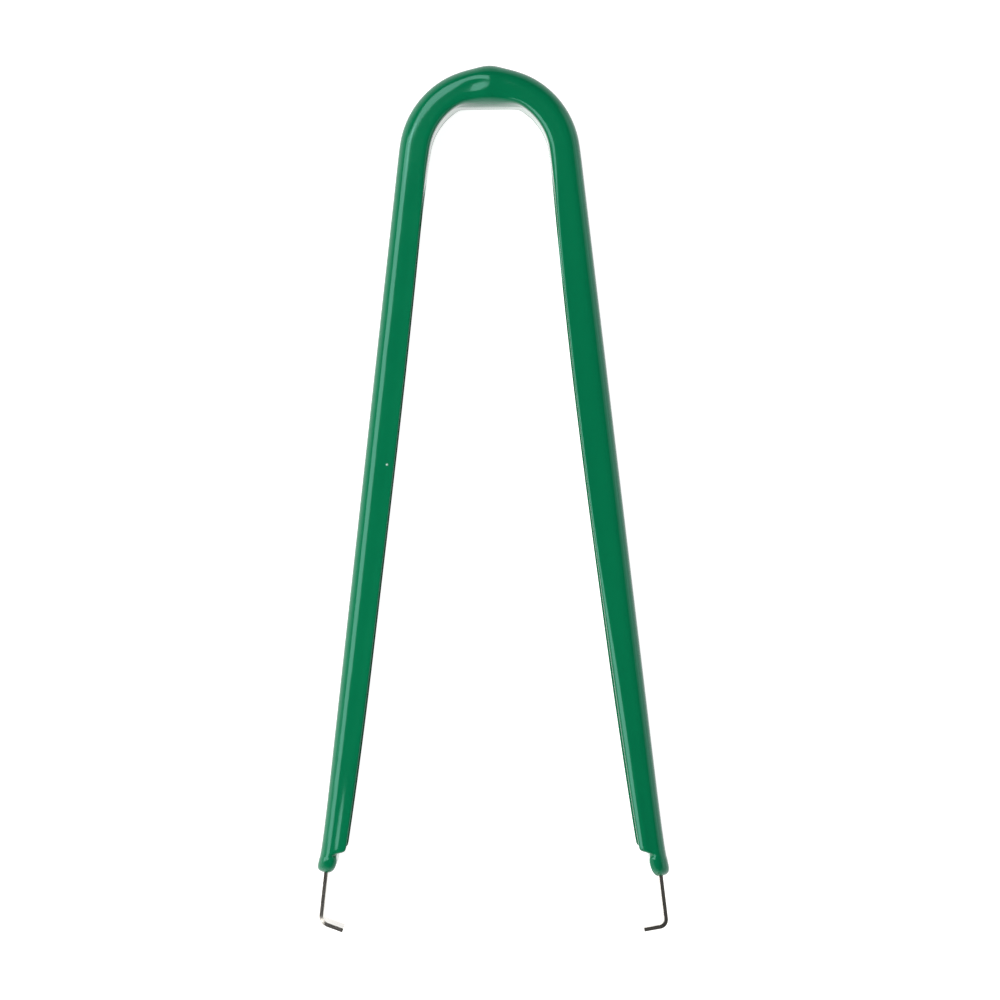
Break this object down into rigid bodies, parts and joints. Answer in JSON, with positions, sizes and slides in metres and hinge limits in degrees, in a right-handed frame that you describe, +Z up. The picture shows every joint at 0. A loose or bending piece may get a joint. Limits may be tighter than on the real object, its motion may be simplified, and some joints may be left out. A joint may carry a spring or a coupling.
{
  "type": "ic extractor tool",
  "caption": "U-shaped spring-steel chip puller: a folded strip bent at the top, dipped in glossy green vinyl, with bare tongue tips hooked inwards to lift a chip from its socket.",
  "frame": {"origin": "centre of the tool's outline at the underside it lies on", "axes": "+X across the two arms, +Y along the tool from the hooks towards the bend, +Z up, across the width of the strip"},
  "size_m": [0.0422, 0.105, 0.0101],
  "materials": {
    "spring_steel": "satin",
    "green_vinyl": "gloss"
  },
  "bodies": {
    "root": {"steel_strip": "spring_steel", "vinyl_coating": "green_vinyl"}
  },
  "joints": []
}
